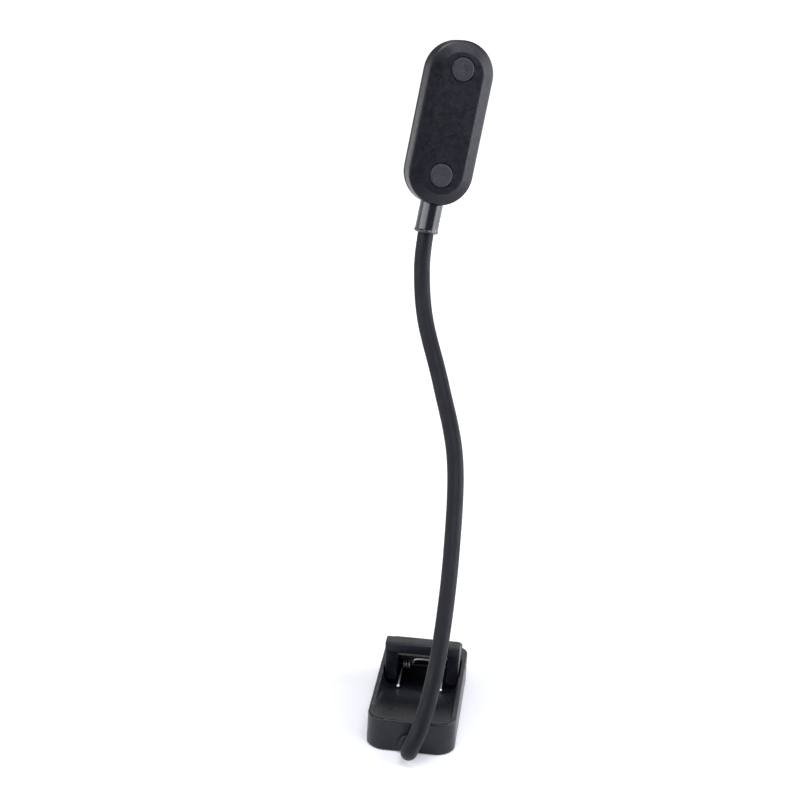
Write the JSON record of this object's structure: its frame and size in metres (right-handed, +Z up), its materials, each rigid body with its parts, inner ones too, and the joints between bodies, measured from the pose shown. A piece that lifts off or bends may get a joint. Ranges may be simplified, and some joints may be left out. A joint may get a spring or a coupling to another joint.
{
  "type": "clip-on reading lamp",
  "caption": "Flat oval LED head on a long flexible neck, rising from a box-shaped battery base with a sprung clip on top.",
  "frame": {"origin": "middle of the base's flat underside, where the lamp stands", "axes": "+Z up, +Y towards the mouth of the clip, +X to the right seen from the neck's side"},
  "size_m": [0.0466, 0.1497, 0.2938],
  "materials": {
    "shell_plastic": "finely textured black moulding, slightly blue",
    "button_plastic": "fine matt black moulding",
    "collar_gloss": "polished black",
    "sleeve_rubber": "matt black silicone",
    "pad_rubber": "matt black",
    "steel": "bright nickel-plated steel",
    "port_metal": "satin",
    "circuit_board": "green solder mask",
    "cell_foil": "grey laminated foil",
    "diffuser": "milky white, satin",
    "led_phosphor": "yellow phosphor in a white frame"
  },
  "bodies": {
    "base": {"base_housing": "shell_plastic", "base_cover": "shell_plastic", "cover_screw_1": "steel", "cover_screw_2": "steel", "cover_screw_3": "steel", "cover_screw_4": "steel", "battery_cell": "cell_foil", "charge_board": "circuit_board", "usb_c_socket": "port_metal", "charge_light": "diffuser", "neck_boss_ring": "shell_plastic", "neck_anchor": "steel", "hinge_pin": "steel", "lower_jaw_pad": "pad_rubber", "torsion_spring": "steel", "neck_sleeve_root": "sleeve_rubber", "neck_core_root": "steel", "neck_flex_1": "sleeve_rubber"},
    "clip_jaw": {"clip_lever": "shell_plastic", "upper_jaw_pad": "pad_rubber"},
    "neck_1": {"neck_sleeve_1": "sleeve_rubber", "neck_core_1": "steel", "neck_flex_2": "sleeve_rubber"},
    "neck_2": {"neck_sleeve_2": "sleeve_rubber", "neck_core_2": "steel", "neck_flex_3": "sleeve_rubber"},
    "neck_3": {"neck_sleeve_3": "sleeve_rubber", "neck_core_3": "steel", "neck_flex_4": "sleeve_rubber"},
    "neck_4": {"neck_sleeve_4": "sleeve_rubber", "neck_core_4": "steel", "neck_flex_5": "sleeve_rubber"},
    "head": {"neck_sleeve_head": "sleeve_rubber", "neck_core_head": "steel", "neck_collar": "collar_gloss", "head_back_shell": "shell_plastic", "head_front_bezel": "shell_plastic", "light_diffuser": "diffuser", "led_board": "circuit_board", "led_1": "led_phosphor", "led_2": "led_phosphor", "led_3": "led_phosphor", "led_4": "led_phosphor", "led_5": "led_phosphor", "led_6": "led_phosphor", "brightness_switch": "port_metal", "colour_switch": "port_metal"},
    "brightness_button": {"brightness_button": "button_plastic"},
    "colour_button": {"colour_button": "button_plastic"}
  },
  "joints": [
    {"name": "clip_hinge", "type": "hinge", "parent": "base", "child": "clip_jaw", "pos_m": [0, 0.0185, 0.0134], "axis": [1, 0, 0], "range_deg": [0, 32], "stiffness_Nm_per_rad": 0.05, "springref_deg": -68.75, "deforming": ["torsion_spring"]},
    {"name": "neck_bend_1", "type": "hinge", "parent": "base", "child": "neck_1", "pos_m": [0.00684, -0.04868, 0.02606], "axis": [1, 0, 0], "range_deg": [-30, 30], "deforming": ["neck_flex_1"]},
    {"name": "neck_bend_2", "type": "hinge", "parent": "neck_1", "child": "neck_2", "pos_m": [0.01103, -0.02368, 0.06433], "axis": [0, 0.7998, -0.6003], "range_deg": [-30, 30], "deforming": ["neck_flex_2"]},
    {"name": "neck_bend_3", "type": "hinge", "parent": "neck_2", "child": "neck_3", "pos_m": [0.01033, 0.00516, 0.10013], "axis": [1, 0, 0], "range_deg": [-30, 30], "deforming": ["neck_flex_3"]},
    {"name": "neck_bend_4", "type": "hinge", "parent": "neck_3", "child": "neck_4", "pos_m": [0.00202, 0.03381, 0.1349], "axis": [0, 0.7891, -0.6143], "range_deg": [-30, 30], "deforming": ["neck_flex_4"]},
    {"name": "neck_bend_5", "type": "hinge", "parent": "neck_4", "child": "head", "pos_m": [-0.01229, 0.05804, 0.17122], "axis": [1, 0, 0], "range_deg": [-30, 30], "deforming": ["neck_flex_5"]},
    {"name": "brightness_press", "type": "slide", "parent": "head", "child": "brightness_button", "axis": [-0.364, 0.9266, -0.0947], "range_m": [0, 0.0005], "stiffness_N_per_m": 400, "springref_m": -0.001},
    {"name": "colour_press", "type": "slide", "parent": "head", "child": "colour_button", "axis": [-0.364, 0.9266, -0.0947], "range_m": [0, 0.0005], "stiffness_N_per_m": 400, "springref_m": -0.001}
  ]
}
